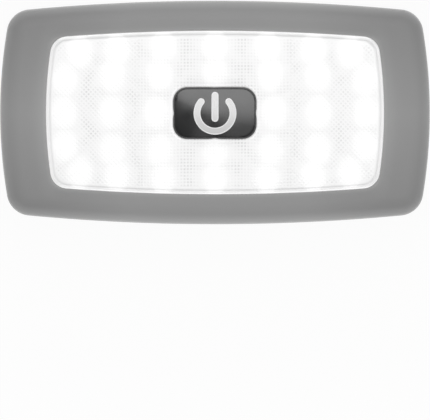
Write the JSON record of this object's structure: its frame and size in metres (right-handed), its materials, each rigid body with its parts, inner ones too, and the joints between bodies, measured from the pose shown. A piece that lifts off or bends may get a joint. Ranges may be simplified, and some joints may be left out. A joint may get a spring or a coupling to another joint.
{
  "type": "car dome light",
  "caption": "Bowed rectangular interior lamp with a grey bezel, a lit opal lens and a dark push button in the middle; screws flat to a headlining.",
  "frame": {"origin": "middle of the flat mounting face", "axes": "+X along the lamp, +Y across it, +Z out of the lens"},
  "size_m": [0.125, 0.065, 0.0154],
  "materials": {
    "abs_white": "fine moulded",
    "abs_grey": "fine matt texture",
    "pc_opal": "opal with fine prisms",
    "abs_black": "polished",
    "solder_mask": "white solder mask",
    "zinc_steel": "zinc plated",
    "pbt_black": "moulded",
    "tinned_brass": "tinned",
    "pom_white": "moulded",
    "spring_steel": "drawn wire",
    "nylon_ivory": "moulded",
    "epoxy_black": "moulded",
    "led_package": "white package",
    "resistor_ceramic": "glazed"
  },
  "bodies": {
    "lamp": {"base_plate": "abs_white", "bezel": "abs_grey", "lens": "pc_opal", "circuit_board": "solder_mask", "board_screws": "zinc_steel", "switch_body": "pbt_black", "switch_cover": "zinc_steel", "switch_terminals": "tinned_brass", "switch_spring": "spring_steel", "wire_header": "nylon_ivory", "diode": "epoxy_black", "led_01": "led_package", "led_02": "led_package", "led_03": "led_package", "led_04": "led_package", "led_05": "led_package", "led_06": "led_package", "led_07": "led_package", "led_08": "led_package", "led_09": "led_package", "led_10": "led_package", "led_11": "led_package", "led_12": "led_package", "led_13": "led_package", "led_14": "led_package", "led_15": "led_package", "led_16": "led_package", "led_17": "led_package", "led_18": "led_package", "led_19": "led_package", "led_20": "led_package", "led_21": "led_package", "led_22": "led_package", "led_23": "led_package", "led_24": "led_package", "led_25": "led_package", "led_26": "led_package", "led_27": "led_package", "led_28": "led_package", "led_29": "led_package", "led_30": "led_package", "led_31": "led_package", "led_32": "led_package", "led_33": "led_package", "led_34": "led_package", "resistor_01": "resistor_ceramic", "resistor_02": "resistor_ceramic", "resistor_03": "resistor_ceramic", "resistor_04": "resistor_ceramic", "resistor_05": "resistor_ceramic", "resistor_06": "resistor_ceramic", "resistor_07": "resistor_ceramic", "resistor_08": "resistor_ceramic", "resistor_09": "resistor_ceramic", "resistor_10": "resistor_ceramic", "resistor_11": "resistor_ceramic", "resistor_12": "resistor_ceramic"},
    "button": {"button_cap": "abs_black", "switch_plunger": "pom_white"}
  },
  "joints": [
    {"name": "button_press", "type": "slide", "parent": "lamp", "child": "button", "axis": [0, 0, -1], "range_m": [0, 0.0015], "stiffness_N_per_m": 1000, "springref_m": -0.001, "deforming": ["switch_spring"]}
  ]
}
